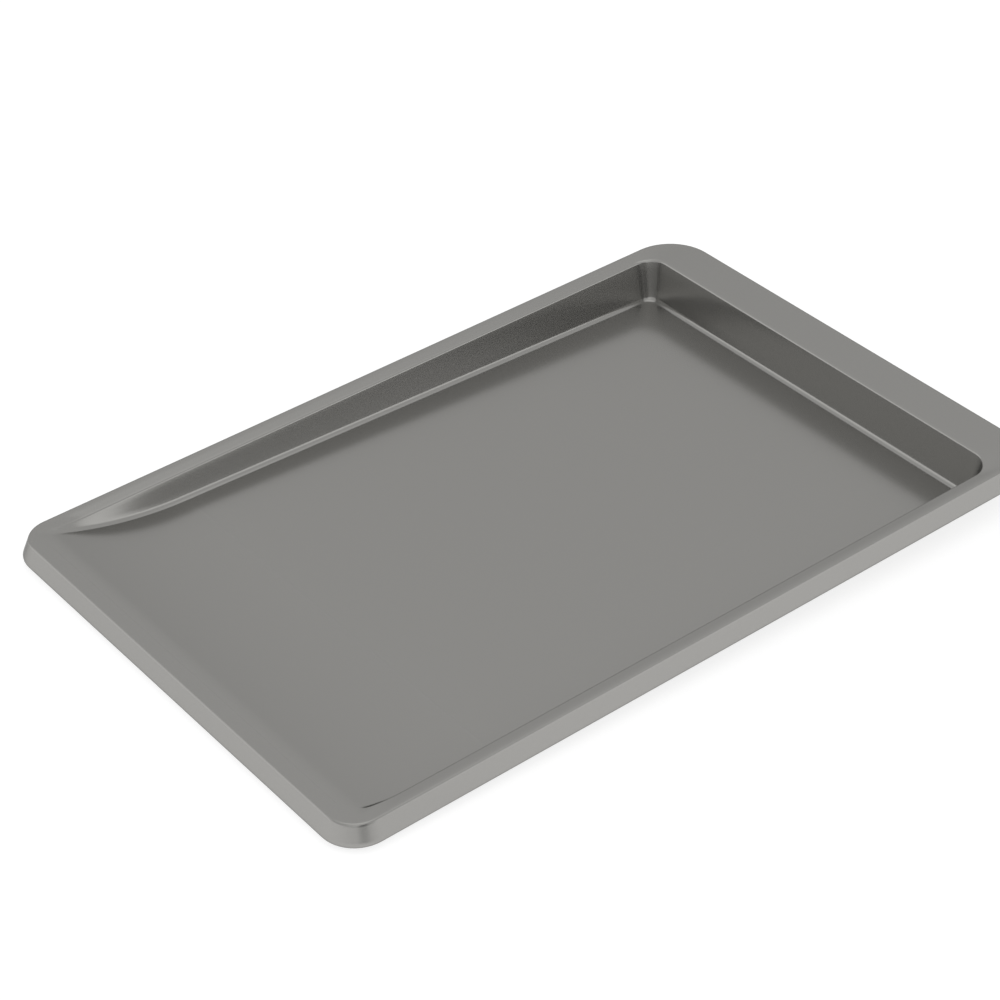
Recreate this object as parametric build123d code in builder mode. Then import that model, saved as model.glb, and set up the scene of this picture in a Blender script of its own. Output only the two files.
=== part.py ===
"""A cookie sheet pressed from one piece of coated steel, with a steel wire rolled into its edge.

One short end is open: there the floor climbs a shallow ramp to the rim, so that baked goods slide
off. The other short end has a wall and a wide flat rim to hold the sheet by. The floor lies level
on the table, and the rim rises from the open end to the handle end, so that the two long walls grow
deeper towards the handle. Outside the rim a flared skirt turns down all round the sheet, and its
lower edge is curled round the wire.

X runs along the sheet from the open end to the handle end, Y across it and Z up. The origin is on
the table under the middle of the sheet. Lengths are in millimetres and angles in degrees.
"""

from build123d import *
from math import asin, atan2, cos, degrees, radians, sin, tan
import os

# The steel and the wire
sheet_thickness = 0.8
wire_diameter = 2.5
wire_clearance = 0.05
wire_joint_gap = 0.6

# The tray, whose inside is measured in the plane of the rim
tray_length = 433.0
tray_width = 284.8
tray_corner_radius = 13.0
wall_draft = 13.0
floor_bend_radius = 3.4
rim_bend_radius = 1.8

# The ramp of the open end, with a round crest that still climbs a little where it meets the rim
ramp_run = 85.0
crest_radius = 25.0
crest_slope = 7.0

# The flat rim, out to the fold that the skirt hangs from
side_rim_width = 8.9
open_rim_width = 11.5
handle_rim_width = 27.4
open_corner_radius = 16.5
handle_corner_radius = 28.0
open_rim_height = 14.5
handle_rim_height = 28.3

# The skirt and the curl
skirt_depth = 12.7
skirt_flare = 22.0
fold_radius = 1.5
curl_wrap = 250.0

# Where the folded edge starts on the flat rim, and how far a form runs past what it cuts
edge_width = 6.0
overrun = 8.0

# The rim plane rises towards the handle
rim_length = open_rim_width + tray_length + handle_rim_width
rim_width = tray_width + 2 * side_rim_width
rim_tilt = degrees(asin((handle_rim_height - open_rim_height) / rim_length))
rim_middle_height = (open_rim_height + handle_rim_height) / 2
tray_middle = (open_rim_width - handle_rim_width) / 2

# The skirt runs into the curl, a tube round the wire
flare_cos = cos(radians(skirt_flare))
flare_sin = sin(radians(skirt_flare))
curl_radius = wire_diameter / 2 + wire_clearance + sheet_thickness
skirt_end_drop = skirt_depth - curl_radius * (1 + flare_sin)
skirt_end_out = skirt_end_drop * tan(radians(skirt_flare))
curl_middle_drop = skirt_end_drop + curl_radius * flare_sin
curl_middle_out = skirt_end_out - curl_radius * flare_cos

# The rim stands back a little, so that its tilted skirt is centred over the origin
tilt_cos = cos(radians(rim_tilt))
tilt_sin = sin(radians(rim_tilt))
rim_plane = Plane(
    origin=(-curl_middle_drop * tilt_sin, 0, rim_middle_height),
    x_dir=(tilt_cos, 0, tilt_sin),
    z_dir=(-tilt_sin, 0, tilt_cos),
)

# In side view the ramp is a hollow arc from the level floor, then the round crest
crest_point = rim_plane.from_local_coords((tray_middle - tray_length / 2, 0, 0))
ramp_foot_x = crest_point.X + ramp_run
arcs_run = ramp_run + crest_radius * sin(radians(crest_slope))
arcs_rise = crest_point.Z - sheet_thickness + crest_radius * (1 - cos(radians(crest_slope)))
ramp_slope = 2 * degrees(atan2(arcs_rise, arcs_run))
arcs_radius = arcs_run / sin(radians(ramp_slope))
ramp_radius = arcs_radius - crest_radius


def tray_space(sink):
    """The space over the tray, grown into the steel by sink, square to the surface.

    With a sink of zero it ends at the upper face of the steel, and with one sheet thickness at the
    lower face. It runs on past the open end and above the rim.
    """
    spread = sink / cos(radians(wall_draft)) + overrun * tan(radians(wall_draft))
    run_past = open_rim_width + overrun
    floor_height = sheet_thickness - sink
    ramp_centre = Vector(ramp_foot_x, sheet_thickness + ramp_radius)
    crest_centre = ramp_centre - arcs_radius * Vector(
        sin(radians(ramp_slope)), cos(radians(ramp_slope))
    )
    with BuildPart() as space:
        with BuildSketch(rim_plane.offset(overrun)):
            with Locations((tray_middle - run_past / 2, 0)):
                RectangleRounded(
                    tray_length + run_past + 2 * spread,
                    tray_width + 2 * spread,
                    tray_corner_radius + spread,
                )
        extrude(amount=-(handle_rim_height + 2 * overrun), taper=wall_draft)
        with BuildSketch(Plane.XZ):
            with BuildLine():
                floor_line = Line((rim_length, floor_height), (ramp_foot_x, floor_height))
                CenterArc(ramp_centre, ramp_radius + sink, -90, -ramp_slope)
                crest = CenterArc(crest_centre, crest_radius - sink, 90 - ramp_slope, ramp_slope)
                Polyline(
                    crest @ 1,
                    (-rim_length, (crest @ 1).Y),
                    (-rim_length, rim_length),
                    (rim_length, rim_length),
                    floor_line @ 0,
                )
            make_face()
        extrude(amount=rim_width, both=True, mode=Mode.INTERSECT)
        fillet(space.faces().sort_by(Axis.Z)[0].edges(), radius=floor_bend_radius + sink)
    return space.part


def edge_corners(out):
    """The four corners of a line round the sheet, out from the folds, clockwise from above."""
    half_length = rim_length / 2 + out
    half_width = rim_width / 2 + out
    return [
        (half_length, half_width),
        (half_length, -half_width),
        (-half_length, -half_width),
        (-half_length, half_width),
    ]


def edge_radii(out):
    """The radii of those four corners."""
    handle_radius = handle_corner_radius + out
    open_radius = open_corner_radius + out
    return [handle_radius, handle_radius, open_radius, open_radius]


def pressed_form(sink, inset):
    """The solid under the tray and the flat rim, as far out as inset from the folds."""
    with BuildPart() as form:
        with BuildSketch(rim_plane.offset(-sink)):
            with BuildLine():
                FilletPolyline(*edge_corners(-inset), radius=edge_radii(-inset), close=True)
            make_face()
        extrude(amount=-(handle_rim_height + overrun + sink))
        add(tray_space(sink), mode=Mode.SUBTRACT)
        flat_rim = form.faces().filter_by(rim_plane).sort_by(Axis.Z)[-1]
        fillet(flat_rim.inner_wires()[0].edges(), radius=rim_bend_radius - sink)
    return form.part


def section_plane(line):
    """The plane across the start of a line round the sheet, with X outward and Y up."""
    along = line % 0
    return Plane(origin=line @ 0, x_dir=rim_plane.z_dir.cross(along), z_dir=along)


# The sheet: its tray and flat rim lie between two pressed forms, one for each face of the steel
with BuildLine(rim_plane) as fold_line:
    FilletPolyline(*edge_corners(0), radius=edge_radii(0), close=True)
with BuildPart() as pressed_sheet:
    add(pressed_form(0, edge_width))
    add(pressed_form(sheet_thickness, edge_width / 2), mode=Mode.SUBTRACT)
    # The edge of the rim, the skirt and the curl have one outline, carried round the sheet
    with BuildSketch(section_plane(fold_line.line)):
        with BuildLine():
            skirt_end = Vector(skirt_end_out, -skirt_end_drop)
            outward = Vector(flare_cos, flare_sin)
            curl_centre = skirt_end - curl_radius * outward
            inner_fold_out = -sheet_thickness * (1 - flare_sin) / flare_cos
            upper_face = FilletPolyline(
                (-edge_width, 0), (0, 0), skirt_end, radius=fold_radius
            )
            outside = CenterArc(curl_centre, curl_radius, skirt_flare, -curl_wrap)
            inside = CenterArc(
                curl_centre, curl_radius - sheet_thickness, skirt_flare, -curl_wrap
            )
            lower_face = FilletPolyline(
                inside @ 0,
                (inner_fold_out, -sheet_thickness),
                (-edge_width, -sheet_thickness),
                radius=fold_radius - sheet_thickness,
            )
            Line(outside @ 1, inside @ 1)
            Line(lower_face @ 1, upper_face @ 0)
        make_face()
    sweep(path=fold_line.line)

# The wire that stiffens the edge, bent round inside the curl with its ends nearly meeting
with BuildLine(rim_plane.offset(-curl_middle_drop)) as wire_line:
    FilletPolyline(
        (wire_joint_gap / 2, rim_width / 2 + curl_middle_out),
        *edge_corners(curl_middle_out),
        (-wire_joint_gap / 2, rim_width / 2 + curl_middle_out),
        radius=edge_radii(curl_middle_out),
    )
with BuildPart() as rim_wire:
    with BuildSketch(section_plane(wire_line.line)):
        Circle(wire_diameter / 2)
    sweep(path=wire_line.line)

os.makedirs("parts", exist_ok=True)
pressed_sheet.part.label = "pressed_sheet"
export_step(pressed_sheet.part, "parts/pressed_sheet.step")
rim_wire.part.label = "rim_wire"
export_step(rim_wire.part, "parts/rim_wire.step")
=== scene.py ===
# %% [markdown]
# # A cookie sheet in coated steel
#
# A cookie sheet is one piece of steel, pressed in a die and finished with a grey non-stick
# coating. One short end is open and ramped, and the other has a wall and a wide rim to hold it
# by. The solid model already has the right sizes. This lesson dresses it: it makes the pressed
# steel again as one smooth surface worked out with numpy, gives it the coating, and sets up a
# plain studio. Loading the frame comes first, because every piece is placed by it.

import bpy
import numpy as np
from mathutils import Matrix, Vector


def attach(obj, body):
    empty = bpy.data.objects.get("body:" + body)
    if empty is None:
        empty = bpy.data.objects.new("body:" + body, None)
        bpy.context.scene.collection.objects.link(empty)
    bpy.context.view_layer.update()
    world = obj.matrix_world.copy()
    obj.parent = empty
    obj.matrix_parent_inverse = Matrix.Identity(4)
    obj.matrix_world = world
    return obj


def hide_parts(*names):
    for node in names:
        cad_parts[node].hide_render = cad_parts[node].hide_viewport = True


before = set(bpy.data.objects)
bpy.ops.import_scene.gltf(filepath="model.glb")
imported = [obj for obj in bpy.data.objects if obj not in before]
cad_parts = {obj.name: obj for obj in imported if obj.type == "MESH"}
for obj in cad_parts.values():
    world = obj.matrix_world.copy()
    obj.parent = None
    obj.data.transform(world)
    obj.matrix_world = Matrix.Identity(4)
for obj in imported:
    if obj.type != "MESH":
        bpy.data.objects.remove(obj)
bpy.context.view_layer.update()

MM = 0.001

# %% [markdown]
# The camera is set before anything is made, because every later step is judged through it. A
# product photograph like this one is taken with a long lens, from a metre and a half away and
# looking down on the table, so the long edges of the sheet stay almost parallel. The camera is
# given by the direction it looks from and by its distance, and it is then slid a little left
# and up until the sheet sits in the picture where it should. There is no lens shift.

# %% Set the camera
CAMERA_AZIMUTH = np.radians(-38.587)
CAMERA_ELEVATION = np.radians(35.894)
CAMERA_DISTANCE = 1500.9 * MM
SLIDE_LEFT = 19.01 * MM
SLIDE_UP = 12.58 * MM
FOCAL_PER_WIDTH = 2.73126
SENSOR_MM = 36.0


def view_axes(azimuth, elevation):
    """Right, up and back of a view, where back points from the object to the camera.

    Right lies level at the azimuth. Back lies a quarter turn clockwise from it, raised by the
    elevation. Up is the cross product of back and right.
    """
    right = Vector((np.cos(azimuth), np.sin(azimuth), 0.0))
    back = Vector((
        np.sin(azimuth) * np.cos(elevation),
        -np.cos(azimuth) * np.cos(elevation),
        np.sin(elevation),
    ))
    return right, back.cross(right), back


right, up, back = view_axes(CAMERA_AZIMUTH, CAMERA_ELEVATION)
camera_data = bpy.data.cameras.new("studio_camera")
camera_data.sensor_width = SENSOR_MM
camera_data.lens = FOCAL_PER_WIDTH * SENSOR_MM
camera = bpy.data.objects.new("studio_camera", camera_data)
camera.matrix_world = Matrix.Translation(
    back * CAMERA_DISTANCE - right * SLIDE_LEFT + up * SLIDE_UP
) @ Matrix((right, up, back)).transposed().to_4x4()
bpy.context.scene.collection.objects.link(camera)
bpy.context.scene.camera = camera
print("lens in mm:", round(camera_data.lens, 1))

# %% [markdown]
# The sheet's sizes are written once, in millimetres, as a drawing would give them. The width
# and the handle rim are a hundredth of a millimetre less than on the drawing, so that the
# dressed sheet stays inside the solid one.

# %% Write down the sizes
STEEL = 0.8
TRAY_LENGTH, TRAY_WIDTH = 433.0, 284.8
TRAY_CORNER, SIDE_RUN, HANDLE_RUN = 13.0, 6.1, 5.4
FLOOR_BEND, RIM_BEND = 3.4, 1.8
SHEET_WIDTH, OPEN_RIM, HANDLE_RIM = 302.59, 11.5, 27.39
OPEN_CORNER, HANDLE_CORNER = 16.5, 28.0
OPEN_HEIGHT, HANDLE_HEIGHT = 14.5, 28.3
RAMP_RUN, CREST_RADIUS, CREST_SLOPE = 85.0, 25.0, np.radians(7.0)
SKIRT_DEPTH, FLARE, FOLD_BEND = 12.7, np.radians(22.0), 1.5
WIRE_DIAMETER, WIRE_ROOM, CURL_WRAP = 2.5, 0.05, np.radians(250.0)

half_length = (OPEN_RIM + TRAY_LENGTH + HANDLE_RIM) / 2
half_width = SHEET_WIDTH / 2
print("fold to fold in mm:", round(2 * half_length, 2), "by", SHEET_WIDTH)

# %% [markdown]
# The rim lies in one plane that rises towards the handle, so a point of the sheet is easiest to
# write in that plane's own directions: along it, across it, and a drop below it. Only the floor
# stays level with the table. The skirt hangs square to the tilted rim, which carries its foot a
# little towards the handle, and the rim stands back by as much to keep the sheet centred.

# %% Tilt the rim plane
tilt = np.arcsin((HANDLE_HEIGHT - OPEN_HEIGHT) / (2 * half_length))
middle_height = (OPEN_HEIGHT + HANDLE_HEIGHT) / 2
curl_radius = WIRE_DIAMETER / 2 + WIRE_ROOM + STEEL
skirt_drop = SKIRT_DEPTH - curl_radius * (1 + np.sin(FLARE))
curl_drop = skirt_drop + curl_radius * np.sin(FLARE)
curl_out = skirt_drop * np.tan(FLARE) - curl_radius * np.cos(FLARE)
rim_origin = np.array([-curl_drop * np.sin(tilt), 0.0, middle_height])
rim_along = np.array([np.cos(tilt), 0.0, np.sin(tilt)])
rim_up = np.array([-np.sin(tilt), 0.0, np.cos(tilt)])


def from_rim(along, across, drop):
    """Turns distances along, across and below the rim plane into places in the frame.

    A place is the rim's origin plus each distance times its own direction.
    """
    level = rim_origin + along[..., None] * rim_along - drop[..., None] * rim_up
    return level + across[..., None] * np.array([0.0, 1.0, 0.0])


print("rim slope in degrees:", round(float(np.degrees(tilt)), 3))

# %% [markdown]
# Side view first. The floor is level, so it lies deeper below the rising rim the nearer it is
# to the handle. Towards the open end it leaves the table on a large hollow arc, and a small
# round crest brings it smoothly into the rim. Two circles that touch have their centres as far
# apart as their radii added, and that places the crest.

# %% Work out how deep the tray is
tray_open = -half_length + OPEN_RIM
tray_handle = half_length - HANDLE_RIM
crest_x, _, crest_z = rim_origin + tray_open * rim_along
arcs_run = RAMP_RUN + CREST_RADIUS * np.sin(CREST_SLOPE)
arcs_rise = crest_z - STEEL + CREST_RADIUS * (1 - np.cos(CREST_SLOPE))
ramp_slope = 2 * np.arctan2(arcs_rise, arcs_run)
ramp_radius = arcs_run / np.sin(ramp_slope) - CREST_RADIUS
foot = np.array([crest_x + RAMP_RUN, 0.0, STEEL]) - rim_origin
hollow = foot + np.array([0.0, 0.0, ramp_radius])
foot_along = foot @ rim_along
hollow_along, hollow_drop = hollow @ rim_along, -(hollow @ rim_up)
centres_apart = ramp_radius + CREST_RADIUS
crest_along = hollow_along - np.sqrt(centres_apart**2 - (CREST_RADIUS - hollow_drop) ** 2)
touch_along = crest_along + (hollow_along - crest_along) * CREST_RADIUS / centres_apart


def tray_depth(along):
    """How far the floor, the ramp or the crest lies below the rim plane.

    The crest drops by its radius less the root of radius squared less run squared, the ramp
    lies on the lower side of the large circle, and the floor falls away by the rim's slope.
    """
    crest_run = np.clip(along - crest_along, 0.0, CREST_RADIUS)
    crest = CREST_RADIUS - np.sqrt(CREST_RADIUS**2 - crest_run**2)
    ramp_run = np.clip(along - hollow_along, -ramp_radius, ramp_radius)
    ramp = hollow_drop + np.sqrt(ramp_radius**2 - ramp_run**2)
    floor = (middle_height - STEEL + along * np.sin(tilt)) / np.cos(tilt)
    return np.where(along < touch_along, crest, np.where(along < foot_along, ramp, floor))


for name, place in (("crest", crest_along), ("ramp foot", foot_along), ("wall", tray_handle)):
    print(name, "depth in mm:", round(float(tray_depth(np.array(place))), 2))

# %% [markdown]
# Now the wall. Across the edge of the tray, the rim turns down over a small bend, a straight
# wall leans in, and a larger bend runs out into the floor. How far the wall runs inward on
# its way down shrinks with the depth, but not to nothing, so it leans more near the open end,
# and melts away there. The side rims also dip a little towards the tray, from the ring beside
# the fold's bend on. The section is three straight lines with two rounded corners, and it
# depends on two things: the depth, and how much the place belongs to a side, from zero at the
# handle wall to one at a long wall.

# %% Work out the wall's section
SIDE_DIP = 2.0
DIP_DEPTH = 8.0
DEEP_TRAY = 26.0
SHALLOW_RUN_SHARE = 0.4
RING_BESIDE_BEND = 0.7

fold_tangent = FOLD_BEND * np.tan((np.pi / 2 - FLARE) / 2)
dip_run = half_width - TRAY_WIDTH / 2 - fold_tangent - RING_BESIDE_BEND


def smooth_step(share):
    """Three times the square less twice the cube, of a share held between zero and one."""
    held = np.clip(share, 0.0, 1.0)
    return held**2 * (3 - 2 * held)


def wall_section(depth, side):
    """The section's lines: dip, slopes of rim and wall, and where each bend starts and ends.

    The wall runs from the edge, which lies as low as the dip, to the floor. Its run is a
    fixed share of that of a deep tray, and the rest of it grows evenly with the depth. A bend
    takes up its radius times the tangent of half its turn on both lines that it joins.
    """
    dip = SIDE_DIP * side * smooth_step(depth / DIP_DEPTH)
    run_share = SHALLOW_RUN_SHARE + (1 - SHALLOW_RUN_SHARE) * depth / DEEP_TRAY
    run = (HANDLE_RUN + (SIDE_RUN - HANDLE_RUN) * side) * run_share
    lean = np.arctan(dip / dip_run)
    turn = np.maximum(np.arctan2(depth - dip, run), lean)
    rim_tangent = RIM_BEND * np.tan((turn - lean) / 2)
    floor_tangent = FLOOR_BEND * np.tan(turn / 2)
    return {
        "dip": dip,
        "lean": lean,
        "turn": turn,
        "rim_stop": -rim_tangent * np.cos(lean),
        "wall_top": rim_tangent * np.cos(turn),
        "wall_foot": run - floor_tangent * np.cos(turn),
        "floor_start": run + floor_tangent,
    }


for depth in (DIP_DEPTH, DEEP_TRAY):
    slope = wall_section(np.array(depth), 1.0)["turn"]
    print("side wall", depth, "mm deep, slope in degrees:", round(float(np.degrees(slope)), 1))

# %% [markdown]
# The section gives the surface a height at every distance in from the tray's edge. A bend is a
# piece of a circle, so its height comes from a sine and a cosine: the sine grows evenly with
# the distance, and the cosine is the root of one less the sine squared.

# %% Turn the section into a drop


def wall_drop(inward, depth, side):
    """The drop below the rim at a distance inward from the tray's edge.

    The rim's line, the rim bend, the wall's line and the floor bend follow each other. On a
    line the drop grows with the slope, on a bend it changes by the radius times the change of
    the cosine, and past the floor bend it is the depth.
    """
    form = wall_section(depth, side)
    rim_line = np.maximum(form["dip"] + inward * np.tan(form["lean"]), 0.0)
    sine = (inward - form["rim_stop"]) / RIM_BEND + np.sin(form["lean"])
    cosine = np.sqrt(1 - np.clip(sine, 0.0, 1.0) ** 2)
    rim_stop_drop = form["dip"] + form["rim_stop"] * np.tan(form["lean"])
    rim_part = rim_stop_drop + RIM_BEND * (np.cos(form["lean"]) - cosine)
    wall_part = form["dip"] + inward * np.tan(form["turn"])
    sine = (form["floor_start"] - inward) / FLOOR_BEND
    floor_part = depth - FLOOR_BEND * (1 - np.sqrt(1 - np.clip(sine, 0.0, 1.0) ** 2))
    drop = np.where(inward < form["wall_foot"], wall_part, floor_part)
    drop = np.where(inward < form["wall_top"], rim_part, drop)
    return np.where(inward < form["rim_stop"], rim_line, drop)


edge_drop = wall_drop(np.array(0.0), np.array(DEEP_TRAY), 1.0)
print("drop at a side's edge in mm:", round(float(edge_drop), 2))

# %% [markdown]
# Seen from above, the tray's edge is a rectangle with round corners. The distance in from it is
# measured to the nearest wall, and in a corner from the corner's centre. Round a corner, the
# place passes smoothly from one wall's shape to the other's, by the square of the sine of the
# angle that it has turned. A tiny number keeps the corner's centre from dividing by zero.

# %% Measure in from the tray's edge
NOT_ZERO = 1e-9


def from_tray_edge(along, across):
    """Distance inward from the three walls, and how much of that is from a side, up to one.

    In a corner, the distance is the corner's radius less the way to its centre, and the share
    is the squared sine of the angle turned. Elsewhere, the distance is the way to the nearest
    wall, and the share is zero or one.
    """
    past_wall = along - (tray_handle - TRAY_CORNER)
    past_side = np.abs(across) - (TRAY_WIDTH / 2 - TRAY_CORNER)
    corner = np.hypot(np.maximum(past_wall, 0.0), np.maximum(past_side, 0.0))
    inward = TRAY_CORNER - corner - np.minimum(np.maximum(past_wall, past_side), 0.0)
    side = np.where(past_side > past_wall, 1.0, 0.0)
    round_part = (past_wall > 0) & (past_side > 0)
    return inward, np.where(round_part, (past_side / np.maximum(corner, NOT_ZERO)) ** 2, side)


def tray_point(along, across):
    """A place on the tray's upper face, which lies below the rim plane by the wall's drop."""
    inward, side = from_tray_edge(along, across)
    return from_rim(along, across, wall_drop(inward, tray_depth(along), side))


middle = tray_point(np.zeros(1), np.zeros(1))[0]
print("middle of the floor in mm:", middle.round(2).tolist())

# %% [markdown]
# The grid. Its rings run round the sheet, and its stations stand along each ring: a dozen in
# every corner, and along the sides closer together at the open end, where the crest needs
# them. One function lays the stations on a rectangle with its own corner radii, and gives the
# outward direction at each, because every ring is that loop moved outward or inward.

# %% Write the loop of stations
LONG_STEPS, SHORT_STEPS, CORNER_STEPS = 120, 70, 12
FIRST_STEP_SHARE = 0.25


def rounded_loop(low, high, half, low_radius, high_radius):
    """Stations on a rounded rectangle, clockwise from the middle of its far open corner.

    Each corner is a quarter circle and each side a straight line. On the long sides the place
    is a share plus a share squared, which packs the stations towards the open end. Gives the
    places and the outward directions.
    """
    graded = np.linspace(0.0, 1.0, LONG_STEPS + 1)
    graded = graded * FIRST_STEP_SHARE + graded**2 * (1 - FIRST_STEP_SHARE)
    even = np.linspace(0.0, 1.0, SHORT_STEPS + 1)
    quarter = np.linspace(0.0, np.pi / 2, CORNER_STEPS + 1)
    mid_low = (low + low_radius, half - low_radius)
    mid_high = (high - high_radius, half - high_radius)
    places, turns = [], []
    for middle, radius, start, to_along, to_across, shares in (
        (mid_low, low_radius, np.pi, mid_high[0], None, graded),
        (mid_high, high_radius, np.pi / 2, None, -mid_high[1], even),
        ((mid_high[0], -mid_high[1]), high_radius, 0.0, mid_low[0], None, 1 - graded[::-1]),
        ((mid_low[0], -mid_low[1]), low_radius, -np.pi / 2, None, mid_low[1], even),
    ):
        angle = start - quarter
        arc = np.stack([np.cos(angle), np.sin(angle)], axis=1)
        corner = np.array(middle) + radius * arc
        places.append(corner[:-1])
        turns.append(arc[:-1])
        target = corner[-1].copy()
        if to_along is not None:
            target[0] = to_along
        if to_across is not None:
            target[1] = to_across
        line = corner[-1] + shares[:, None] * (target - corner[-1])
        places.append(line[:-1])
        turns.append(np.repeat(arc[-1:], len(line) - 1, axis=0))
    shift = -(CORNER_STEPS // 2)
    return np.roll(np.concatenate(places), shift, 0), np.roll(np.concatenate(turns), shift, 0)


print("steps: long", LONG_STEPS, "short", SHORT_STEPS, "corner", CORNER_STEPS)

# %% [markdown]
# Two loops carry the stations: the edge of the tray and the fold of the skirt. At the open end
# the tray runs out over the crest and has no corners of its own, so its loop is rounded there
# only to keep the inner rings from crossing.

# %% Lay out the stations
OPEN_LOOP_CORNER = 14.0

tray_loop, tray_out = rounded_loop(
    tray_open, tray_handle, TRAY_WIDTH / 2, OPEN_LOOP_CORNER, TRAY_CORNER
)
fold_loop, fold_out = rounded_loop(
    -half_length, half_length, half_width, OPEN_CORNER, HANDLE_CORNER
)
print("stations:", len(tray_loop))

# %% [markdown]
# The tray's rings follow from the wall's own section: several on the floor bend and on the rim
# bend, a few on the wall between them, and one beside each bend to hold the flat next to it.
# They follow the bends, so that the quads lie along them and the light runs over without a
# kink. Where the wall melts away, the rings keep the places that they have at the depth called
# SHALLOWEST, because bends without any depth would draw their rings together.

# %% Lay out the tray's rings
BEND_STEPS, WALL_STEPS = 8, 4
SHALLOWEST = 1.5

station_depth = np.maximum(tray_depth(tray_loop[:, 0]), SHALLOWEST)
form = wall_section(station_depth, tray_out[:, 1] ** 2)
wall_turned = form["turn"] - form["lean"]
straight = form["wall_foot"] - form["wall_top"]
rings_in = [form["floor_start"] + RING_BESIDE_BEND]
for share in np.linspace(0.0, 1.0, BEND_STEPS + 1):
    rings_in.append(form["floor_start"] - FLOOR_BEND * np.sin(form["turn"] * share))
for share in np.linspace(0.0, 1.0, WALL_STEPS + 1)[1:-1]:
    rings_in.append(form["wall_foot"] + (form["wall_top"] - form["wall_foot"]) * share)
for share in np.linspace(1.0, 0.0, BEND_STEPS + 1):
    bent = np.sin(form["lean"] + wall_turned * share) - np.sin(form["lean"])
    rings_in.append(form["rim_stop"] + RIM_BEND * bent)
rings_in.append(form["rim_stop"] - RING_BESIDE_BEND)
tray_rings = tray_loop[None] - np.array(rings_in)[..., None] * tray_out[None]
tray_part = tray_point(tray_rings[..., 0], tray_rings[..., 1])
print("tray rings:", len(tray_part))
print("least run of the straight wall in mm:", round(float(straight.min()), 2))

# %% [markdown]
# The skirt stiffens the rim and keeps fingers off a sharp edge. Its side view is carried round
# the fold: a bend of most of a quarter turn, a straight flare, and a curl of a little over two
# thirds of a turn round the hidden wire. One more ring, halfway across the rim, joins it to the
# tray.

# %% Lay out the skirt's rings
FOLD_STEPS, CURL_STEPS = 8, 22
FLARE_SHARES = (0.1, 0.5, 0.9)


def skirt_outline():
    """Side view of the skirt: how far out from the fold, and how far below the rim.

    The bend goes out by its radius times the sine of the turn, and down by its radius times
    one less the cosine. The flare is out by its drop times the tangent of its angle. From its
    centre, the curl is out by its radius times the cosine, and up by its radius times the sine.
    """
    bend = np.linspace(0.0, np.pi / 2 - FLARE, FOLD_STEPS + 1)
    out = [-fold_tangent - RING_BESIDE_BEND, *(-fold_tangent + FOLD_BEND * np.sin(bend))]
    drop = [0.0, *(FOLD_BEND * (1 - np.cos(bend)))]
    bend_foot = drop[-1]
    for share in FLARE_SHARES:
        drop.append(bend_foot + share * (skirt_drop - bend_foot))
        out.append(drop[-1] * np.tan(FLARE))
    curl = FLARE - np.linspace(0.0, CURL_WRAP, CURL_STEPS + 1)
    out.extend(curl_out + curl_radius * np.cos(curl))
    drop.extend(curl_drop - curl_radius * np.sin(curl))
    return np.array(out), np.array(drop)


skirt_out, skirt_down = skirt_outline()
skirt_rings = fold_loop[None] + skirt_out[:, None, None] * fold_out[None]
skirt_part = from_rim(
    skirt_rings[..., 0], skirt_rings[..., 1], np.repeat(skirt_down[:, None], len(fold_loop), 1)
)
rim_middle = (tray_part[-1:] + skirt_part[:1]) / 2
rings = np.concatenate([tray_part, rim_middle, skirt_part])
print("rings:", len(rings), "points:", rings.shape[0] * rings.shape[1])

# %% [markdown]
# The rings leave a hole in the middle of the floor. A second grid fills it: its border is the
# innermost ring, and every point inside is blended from the four sides of that border. That
# is a Coons patch, the usual way to fill a four-sided hole without bunching the grid. Where the
# patch crosses the ramp, the depth formula lifts it.

# %% Fill the floor


def coons_patch(border, long_steps, short_steps):
    """Fills a border with a grid: the blends of both pairs of sides, less that of the corners."""
    corner = np.cumsum([0, long_steps, short_steps, long_steps])
    far = border[corner[0]:corner[1] + 1]
    handle = border[corner[1]:corner[2] + 1]
    near = border[corner[2]:corner[3] + 1][::-1]
    start = np.append(border[corner[3]:], border[:1], axis=0)[::-1]
    share = (far[:, 0] - far[0, 0]) / (far[-1, 0] - far[0, 0])
    side = np.linspace(0.0, 1.0, short_steps + 1)
    s, t = share[:, None, None], side[None, :, None]
    sides = (1 - t) * far[:, None] + t * near[:, None]
    ends = (1 - s) * start[None] + s * handle[None]
    corners = (1 - s) * ((1 - t) * far[0] + t * near[0]) + s * ((1 - t) * far[-1] + t * near[-1])
    return sides + ends - corners


long_count = LONG_STEPS + CORNER_STEPS
short_count = SHORT_STEPS + CORNER_STEPS
patch = coons_patch(tray_rings[0], long_count, short_count)
patch_part = tray_point(patch[..., 0], patch[..., 1])
print("floor patch:", patch.shape[:2])

# %% [markdown]
# Both grids become one mesh. The patch's border and the first ring are the same points, so the
# patch refers to the ring's numbers there, and the surface has no seam.

# %% Number the points


def grid_faces(numbers):
    """One quad for every cell of a grid of point numbers, turned to face up."""
    cells = (numbers[:-1, :-1], numbers[:-1, 1:], numbers[1:, 1:], numbers[1:, :-1])
    return np.stack(cells, axis=-1).reshape(-1, 4)


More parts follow.
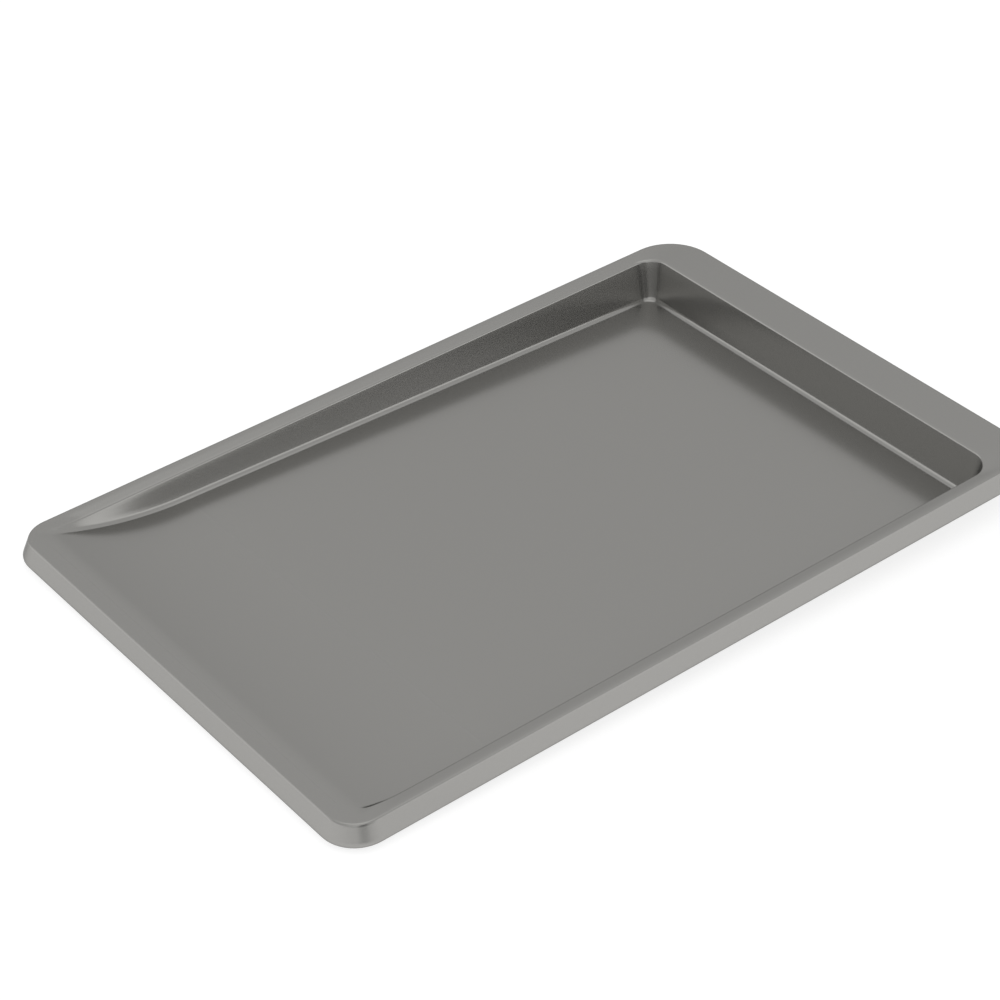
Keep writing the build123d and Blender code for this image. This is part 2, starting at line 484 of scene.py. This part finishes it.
ring_count, station_count = rings.shape[:2]
ring_numbers = np.arange(ring_count * station_count).reshape(ring_count, station_count)
ring_faces = grid_faces(np.append(ring_numbers, ring_numbers[:, :1], axis=1))
first = ring_numbers[0]
stops = np.cumsum([0, long_count, short_count, long_count])
patch_numbers = np.full(patch.shape[:2], -1)
patch_numbers[:, 0] = first[stops[0]:stops[1] + 1]
patch_numbers[-1, :] = first[stops[1]:stops[2] + 1]
patch_numbers[:, -1] = first[stops[2]:stops[3] + 1][::-1]
patch_numbers[0, :] = np.append(first[stops[3]:], first[:1])[::-1]
inside = patch_numbers < 0
patch_numbers[inside] = ring_count * station_count + np.arange(inside.sum())
floor_faces = grid_faces(patch_numbers)
points = np.concatenate([rings.reshape(-1, 3), patch_part[inside]])
faces = np.concatenate([ring_faces, floor_faces])
print("points:", len(points), "faces:", len(faces))

# %% [markdown]
# Only the upper face is built this way. A Solidify modifier adds the lower face one steel
# thickness away and closes the free edge inside the curl, as a real sheet has the same
# thickness everywhere. The floor's faces have to point up before that, or the steel would grow
# on the wrong side.

# %% Build the sheet


def new_mesh_object(name, points, faces):
    """A mesh from millimetre points and quads, smoothly shaded, at the origin."""
    mesh = bpy.data.meshes.new(name)
    mesh.from_pydata(points * MM, [], faces.tolist())
    mesh.update()
    mesh.shade_smooth()
    made = bpy.data.objects.new(name, mesh)
    bpy.context.scene.collection.objects.link(made)
    return made


sheet = new_mesh_object("coated_sheet", points, faces)
normals = np.empty(3 * len(faces))
sheet.data.polygons.foreach_get("normal", normals)
floor_up = normals.reshape(-1, 3)[-len(floor_faces):, 2].min()
print("least upward part of the floor's normals:", round(float(floor_up), 3))

thickness = sheet.modifiers.new("steel_thickness", "SOLIDIFY")
thickness.thickness = STEEL * MM
thickness.offset = -1.0
thickness.use_even_offset = True
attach(sheet, "root")
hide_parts("pressed_sheet")

# %% [markdown]
# A material is a small tree of nodes. Three helpers keep it readable: one turns the hex colours
# that painters and web pages use into linear light, which is what the renderer adds up, one
# adds a node with its values and links in a single call, and one starts an empty material.

# %% Write the material helpers


def linear(hex_colour):
    """An sRGB hex colour as linear red, green, blue and alpha.

    A very dark value is divided by 12.92. Any other has 0.055 added, and is then divided by
    1.055 and taken to the power of 2.4.
    """
    share = np.array([int(hex_colour[i:i + 2], 16) for i in (1, 3, 5)]) / 255
    light = np.where(share <= 0.04045, share / 12.92, ((share + 0.055) / 1.055) ** 2.4)
    return (*light.tolist(), 1.0)


def add_node(tree, kind, inputs=None, **settings):
    """Adds a node: settings are its properties, inputs its socket values or links."""
    node = tree.nodes.new(kind)
    for name, value in settings.items():
        setattr(node, name, value)
    for name, value in (inputs or {}).items():
        if isinstance(value, bpy.types.NodeSocket):
            tree.links.new(value, node.inputs[name])
        else:
            node.inputs[name].default_value = value
    return node


def new_material(name):
    """An empty node material with its output."""
    material = bpy.data.materials.new(name)
    material.use_nodes = True
    material.node_tree.nodes.clear()
    return material, add_node(material.node_tree, "ShaderNodeOutputMaterial")


print("a mid grey in linear light:", round(linear("#808080")[0], 3))

# %% [markdown]
# The coating. A non-stick coat on steel is sprayed on and baked: a thin grey film full of fine
# metal flake, which reflects its surroundings softly, like satin metal. That is why the walls
# look dark, as they mirror the grey floor of the tray, while the skirt outside mirrors the white
# table and the room beyond it. So the base is mostly a metal of a mid grey, with a small share
# of plain pigment, and its grazing shine is held down, since the flakes lie in a dull binder.
# Two fine patterns break it up: the flake, and the slight orange peel of sprayed film. Real
# flake is finer than a tenth of a millimetre, and it is drawn coarser here, to show at all.

# %% Make the coating
FLAKE_MM = 0.5
PEEL_MM = 1.6
PEEL_HEIGHT_MM = 0.0005

coating, output = new_material("baked_non_stick_coating")
tree = coating.node_tree
place = add_node(tree, "ShaderNodeTexCoord").outputs["Object"]
flake = add_node(
    tree, "ShaderNodeTexNoise",
    {"Vector": place, "Scale": 1 / (FLAKE_MM * MM), "Detail": 2.0, "Roughness": 0.6},
)
flake_colour = add_node(
    tree, "ShaderNodeMix",
    {"Factor": flake.outputs["Fac"], "A": linear("#9f9e9b"), "B": linear("#a9a8a5")},
    data_type="RGBA",
)
peel = add_node(
    tree, "ShaderNodeTexNoise",
    {"Vector": place, "Scale": 1 / (PEEL_MM * MM), "Detail": 1.0},
)
peel_bump = add_node(
    tree, "ShaderNodeBump",
    {"Height": peel.outputs["Fac"], "Distance": PEEL_HEIGHT_MM * MM, "Strength": 1.0},
)
film = add_node(
    tree, "ShaderNodeBsdfPrincipled",
    {
        "Base Color": flake_colour.outputs["Result"],
        "Metallic": 0.82,
        "Roughness": 0.2,
        "Specular Tint": linear("#a8a8a8"),
        "Normal": peel_bump.outputs["Normal"],
    },
)
tree.links.new(film.outputs["BSDF"], output.inputs["Surface"])
sheet.data.materials.append(coating)
print("material:", coating.name, "nodes:", len(tree.nodes))

# %% [markdown]
# The wire keeps its solid, since nothing about its shape is missing: its mesh is left alone, and
# only the material in its slot is changed. It is bright drawn steel, and it shows only where one
# looks into the curl from underneath. Drawing through a die leaves fine lines along a wire. They
# are too fine to show, so a coarser noise stands for them: it varies the roughness, and that
# makes the shine uneven.

# %% Make the wire's steel
DRAW_LINE_MM = 0.3

wire_steel, output = new_material("drawn_steel_wire")
tree = wire_steel.node_tree
place = add_node(tree, "ShaderNodeTexCoord").outputs["Object"]
lines = add_node(
    tree, "ShaderNodeTexNoise",
    {"Vector": place, "Scale": 1 / (DRAW_LINE_MM * MM), "Detail": 2.0},
)
line_roughness = add_node(
    tree, "ShaderNodeMapRange",
    {"Value": lines.outputs["Fac"], "To Min": 0.25, "To Max": 0.4},
)
bright = add_node(
    tree, "ShaderNodeBsdfPrincipled",
    {
        "Base Color": linear("#b9b9ba"),
        "Metallic": 1.0,
        "Roughness": line_roughness.outputs["Result"],
    },
)
tree.links.new(bright.outputs["BSDF"], output.inputs["Surface"])
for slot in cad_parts["rim_wire"].material_slots:
    slot.material = wire_steel
print("material:", wire_steel.name, "nodes:", len(tree.nodes))

# %% [markdown]
# The studio. The table is a plain white plane. A shot on white has a table that comes out
# paper white, and lighting it that hard would burn out the sheet. So the plane is a pale grey
# that takes the sheet's soft shadow, and it glows up to paper white, for the camera and for
# reflections alike, so that the skirt mirrors the same white table that the picture shows. It
# lies a tenth of a millimetre under the sheet, so that the two flat faces don't share one plane.

# %% Lay the table
TABLE_HALF = 6.0
TABLE_GAP_MM = 0.1
TABLE_CORNERS = ((-1, -1), (1, -1), (1, 1), (-1, 1))

table_mesh = bpy.data.meshes.new("table")
corners = [(x * TABLE_HALF, y * TABLE_HALF, -TABLE_GAP_MM * MM) for x, y in TABLE_CORNERS]
table_mesh.from_pydata(corners, [], [(0, 1, 2, 3)])
table = bpy.data.objects.new("table", table_mesh)
bpy.context.scene.collection.objects.link(table)
print("table in m:", 2 * TABLE_HALF, "by", 2 * TABLE_HALF)

# %% [markdown]
# The glow is an emission beside the diffuse grey. It is switched by the kind of ray that looks
# at the table: the larger of three switches, each zero or one, times the strength.

# %% Make the table's paper
TABLE_GLOW = 0.78

paper, output = new_material("white_paper_table")
tree = paper.node_tree
ray = add_node(tree, "ShaderNodeLightPath")
seen = add_node(
    tree, "ShaderNodeMath",
    {0: ray.outputs["Is Camera Ray"], 1: ray.outputs["Is Glossy Ray"]},
    operation="MAXIMUM",
)
seen = add_node(
    tree, "ShaderNodeMath",
    {0: seen.outputs["Value"], 1: ray.outputs["Is Transmission Ray"]},
    operation="MAXIMUM",
)
glow_strength = add_node(
    tree, "ShaderNodeMath",
    {0: seen.outputs["Value"], 1: TABLE_GLOW},
    operation="MULTIPLY",
)
matt = add_node(tree, "ShaderNodeBsdfDiffuse", {"Color": linear("#a3a3a3")})
glow = add_node(
    tree, "ShaderNodeEmission",
    {"Color": linear("#ffffff"), "Strength": glow_strength.outputs["Value"]},
)
both = add_node(tree, "ShaderNodeAddShader")
tree.links.new(matt.outputs["BSDF"], both.inputs[0])
tree.links.new(glow.outputs["Emission"], both.inputs[1])
tree.links.new(both.outputs["Shader"], output.inputs["Surface"])
table_mesh.materials.append(paper)
print("material:", paper.name, "nodes:", len(tree.nodes))

# %% [markdown]
# Satin metal is mostly a picture of its room, so the room matters more than the lamps. It is a
# plain even dome, with large soft cards on it, as a photographer hangs them: a white card adds
# light and a grey one takes some away. Each card is round and fades out to its rim. It is given
# by its place, in degrees round from the camera and up from the table, by the angle from its
# middle to its rim, and by its strength.

# %% Hang the cards
DOME_LIGHT = 0.67
CARDS = (
    ("camera_white", 0.0, 32.0, 30.0, 0.25),
    ("left_white", -95.0, 12.0, 30.0, 0.45),
    ("right_white", 70.0, 12.0, 22.0, 0.5),
    ("front_grey", 22.0, 10.0, 20.0, -0.62),
    ("overhead_white", 0.0, 90.0, 35.0, 0.4),
)

world = bpy.data.worlds.new("studio_dome")
bpy.context.scene.world = world
world.use_nodes = True
tree = world.node_tree
tree.nodes.clear()
direction = add_node(tree, "ShaderNodeTexCoord").outputs["Generated"]
camera_side = np.arctan2(back.y, back.x)
room_light = DOME_LIGHT
for name, round_from_camera, height, to_rim, strength in CARDS:
    turned = camera_side + np.radians(round_from_camera)
    raised = np.radians(height)
    middle = (np.cos(turned) * np.cos(raised), np.sin(turned) * np.cos(raised), np.sin(raised))
    facing = add_node(
        tree, "ShaderNodeVectorMath", {0: direction, 1: middle}, operation="DOT_PRODUCT"
    )
    card = add_node(
        tree, "ShaderNodeMapRange",
        {
            "Value": facing.outputs["Value"],
            "From Min": np.cos(np.radians(to_rim)),
            "From Max": 1.0,
            "To Max": strength,
        },
        interpolation_type="SMOOTHSTEP",
    )
    room_light = add_node(
        tree, "ShaderNodeMath", {0: card.outputs["Result"], 1: room_light}, operation="ADD"
    ).outputs["Value"]
    print("card", name, "strength", strength)

# %% [markdown]
# Behind the table the camera sees paper white, so that the picture has no horizon from any
# side. Everything else sees the dome and its cards. The Standard view shows each colour as it
# is written, where a film look would bend the greys.

# %% Light the room
PAPER_WHITE = 1.0

ray = add_node(tree, "ShaderNodeLightPath")
backdrop = add_node(
    tree, "ShaderNodeMix",
    {"Factor": ray.outputs["Is Camera Ray"], "A": room_light, "B": PAPER_WHITE},
    data_type="FLOAT",
)
dome = add_node(
    tree, "ShaderNodeBackground",
    {"Color": linear("#ffffff"), "Strength": backdrop.outputs["Result"]},
)
output = add_node(tree, "ShaderNodeOutputWorld")
tree.links.new(dome.outputs["Background"], output.inputs["Surface"])

bpy.context.scene.view_settings.view_transform = "Standard"
print("world:", world.name, "nodes:", len(tree.nodes))
